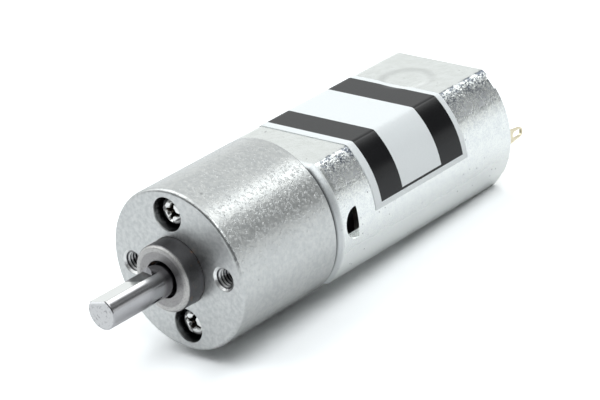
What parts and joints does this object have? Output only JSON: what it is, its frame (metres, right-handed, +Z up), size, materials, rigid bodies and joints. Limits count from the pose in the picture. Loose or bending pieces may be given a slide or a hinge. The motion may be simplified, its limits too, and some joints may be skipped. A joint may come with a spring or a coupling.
{
  "type": "gearmotor",
  "caption": "Small DC gearmotor: round spur gearbox with a D-cut output shaft and a raised bush, on a flat-sided drawn-can motor with rear solder terminals.",
  "frame": {"origin": "centre of the gearbox's front mounting face, on the output shaft's axis", "axes": "+Z up, square to the motor's upper flat; -Y along the output shaft towards its tip; +X to the right seen from the front"},
  "size_m": [0.0206, 0.0662, 0.02],
  "materials": {
    "cast_case": "tumbled zinc alloy die casting, matte with a fine orange-peel grain",
    "sintered_iron": "oil-impregnated sintered iron, porous and dark",
    "plate_steel": "zinc-plated steel sheet",
    "bright_steel": "ground and polished steel",
    "nickel_screw": "nickel-plated steel",
    "gear_steel": "hobbed carbon steel, oiled",
    "brass": "hobbed brass",
    "plated_can": "drawn steel with a light satin nickel plating",
    "label_paper": "glossy coated paper, white with black bands",
    "sintered_bronze": "oil-impregnated sintered bronze",
    "ferrite": "sintered ferrite, dark grey and matte",
    "spring_steel": "hard-drawn spring wire",
    "lamination_steel": "stacked silicon steel laminations",
    "insulator_fibre": "moulded blue nylon insulation",
    "enamelled_copper": "enamelled copper wire",
    "phenolic": "brown phenolic moulding",
    "copper": "turned copper",
    "cap_nylon": "natural nylon moulding",
    "carbon": "pressed carbon-copper brush",
    "spring_bronze": "beryllium copper strip",
    "terminal_brass": "tinned brass strip"
  },
  "bodies": {
    "case": {"gearbox_housing": "cast_case", "output_bush": "sintered_iron", "gear_plate": "plate_steel", "gear_pins": "bright_steel", "pin_spacers": "brass", "housing_screws": "nickel_screw", "motor_screws": "nickel_screw", "output_washer": "bright_steel", "motor_can": "plated_can", "label": "label_paper", "front_bearing": "sintered_bronze", "rear_bearing": "sintered_bronze", "magnets": "ferrite", "magnet_clip": "spring_steel", "end_cap": "cap_nylon", "brushes": "carbon", "brush_arms": "spring_bronze", "terminals": "terminal_brass"},
    "output": {"output_shaft": "bright_steel", "output_gear": "gear_steel", "spindle_washers": "bright_steel"},
    "first_gear": {"first_wheel": "brass", "first_pinion": "gear_steel"},
    "second_gear": {"second_wheel": "brass", "second_pinion": "gear_steel"},
    "third_gear": {"third_wheel": "brass", "third_pinion": "gear_steel"},
    "rotor": {"motor_shaft": "bright_steel", "motor_pinion": "brass", "rotor_core": "lamination_steel", "rotor_insulators": "insulator_fibre", "rotor_windings": "enamelled_copper", "commutator_hub": "phenolic", "commutator_segments": "copper", "rotor_washers": "insulator_fibre"}
  },
  "joints": [
    {"name": "rotor_spin", "type": "hinge", "parent": "case", "child": "rotor", "pos_m": [0, 0.03, 0], "axis": [0, -1, 0], "continuous": true},
    {"name": "first_gear_spin", "type": "hinge", "parent": "case", "child": "first_gear", "pos_m": [0.00479, 0.011, 0.00032], "axis": [0, -1, 0], "continuous": true},
    {"name": "second_gear_spin", "type": "hinge", "parent": "case", "child": "second_gear", "pos_m": [0, 0.009, 0], "axis": [0, -1, 0], "continuous": true},
    {"name": "third_gear_spin", "type": "hinge", "parent": "case", "child": "third_gear", "pos_m": [-0.00479, 0.006, -0.00032], "axis": [0, -1, 0], "continuous": true},
    {"name": "output_spin", "type": "hinge", "parent": "case", "child": "output", "pos_m": [0, 0, 0], "axis": [0, -1, 0], "continuous": true}
  ],
  "couplings": [
    {"joint": "third_gear_spin", "follows": "output_spin", "ratio": -2.2},
    {"joint": "second_gear_spin", "follows": "output_spin", "ratio": 4.84},
    {"joint": "first_gear_spin", "follows": "output_spin", "ratio": -10.648},
    {"joint": "rotor_spin", "follows": "output_spin", "ratio": 23.426}
  ]
}
